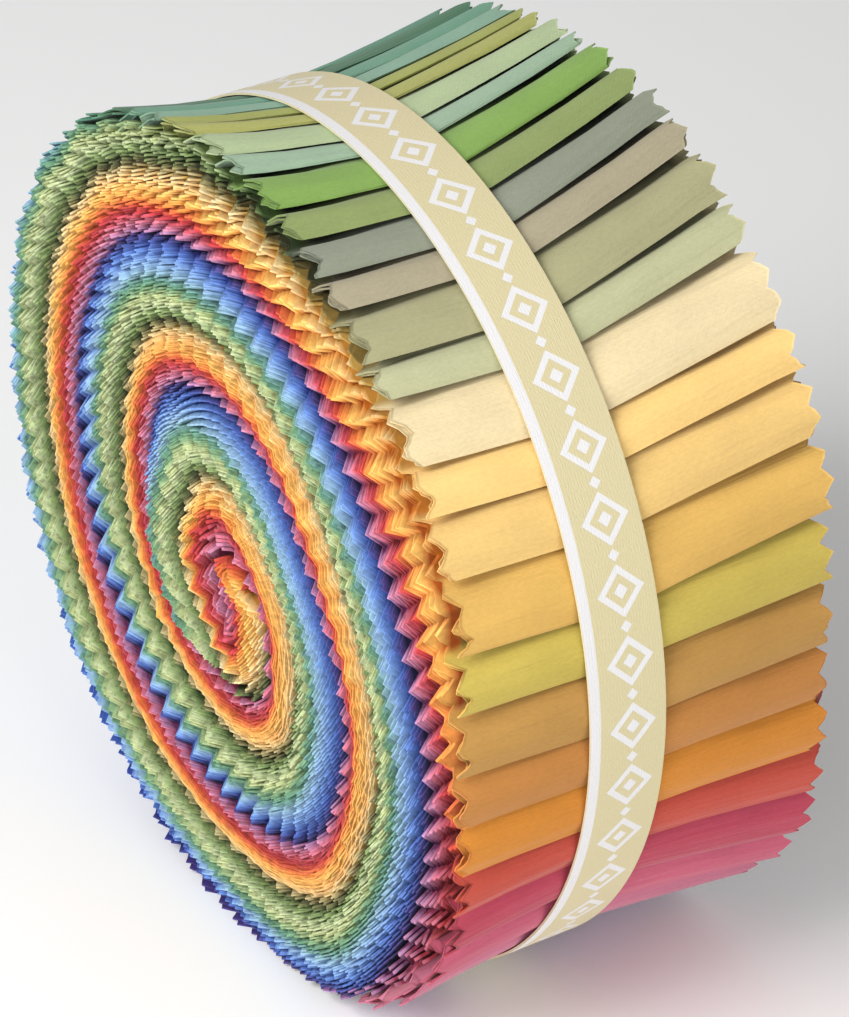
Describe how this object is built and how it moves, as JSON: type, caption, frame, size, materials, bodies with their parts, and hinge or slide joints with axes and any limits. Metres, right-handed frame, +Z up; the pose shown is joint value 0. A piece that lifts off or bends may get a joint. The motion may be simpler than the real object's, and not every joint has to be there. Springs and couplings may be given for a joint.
{
  "type": "roll of quilting fabric strips",
  "caption": "Roll of folded cotton quilting strips with pinked edges, in rainbow colours, held round its waist by a narrow printed band and standing on its rim.",
  "frame": {"origin": "on the floor, midway under the roll, halfway between its two spiral faces", "axes": "+Z up, +Y along the roll's winding axis from the near face to the far face, +X across the rim"},
  "size_m": [0.1347, 0.0636, 0.1339],
  "materials": {
    "cotton_strips": "matt plain-weave cotton in forty solid colours, with zigzag-cut edges",
    "printed_band": "smooth light beige ribbon with a plain white print"
  },
  "bodies": {
    "root": {"strip_roll": "cotton_strips", "waist_band": "printed_band"}
  },
  "joints": []
}
